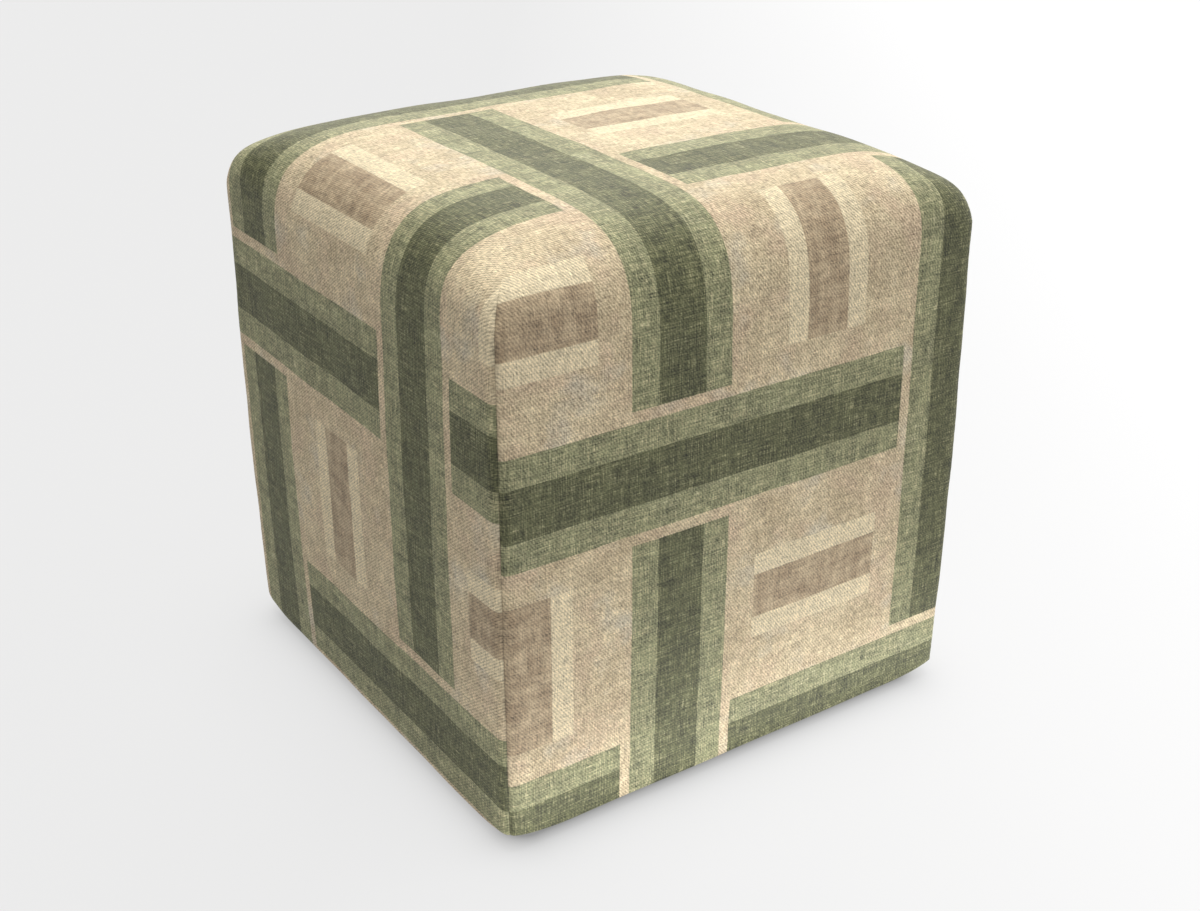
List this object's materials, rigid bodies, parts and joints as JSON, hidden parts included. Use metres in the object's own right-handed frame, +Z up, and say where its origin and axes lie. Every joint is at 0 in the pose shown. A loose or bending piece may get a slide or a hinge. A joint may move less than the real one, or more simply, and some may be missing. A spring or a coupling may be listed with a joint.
{
  "type": "cube pouf stool",
  "caption": "Firm filled cube pouf for sitting or resting feet, in a cross-cut printed cloth with seamed corners, softly rolled top edges and a plain base cloth.",
  "frame": {"origin": "on the floor, under the middle of the pouf", "axes": "+Z up; X and Y square to the sides, through the middles of opposite sides"},
  "size_m": [0.4344, 0.4344, 0.46],
  "materials": {
    "printed_cloth": "matt twill-woven linen-look upholstery cloth, printed in sage, olive and tan on sand",
    "base_cloth": "matt plain-woven base cloth"
  },
  "bodies": {
    "root": {"cover": "printed_cloth", "base_panel": "base_cloth"}
  },
  "joints": []
}
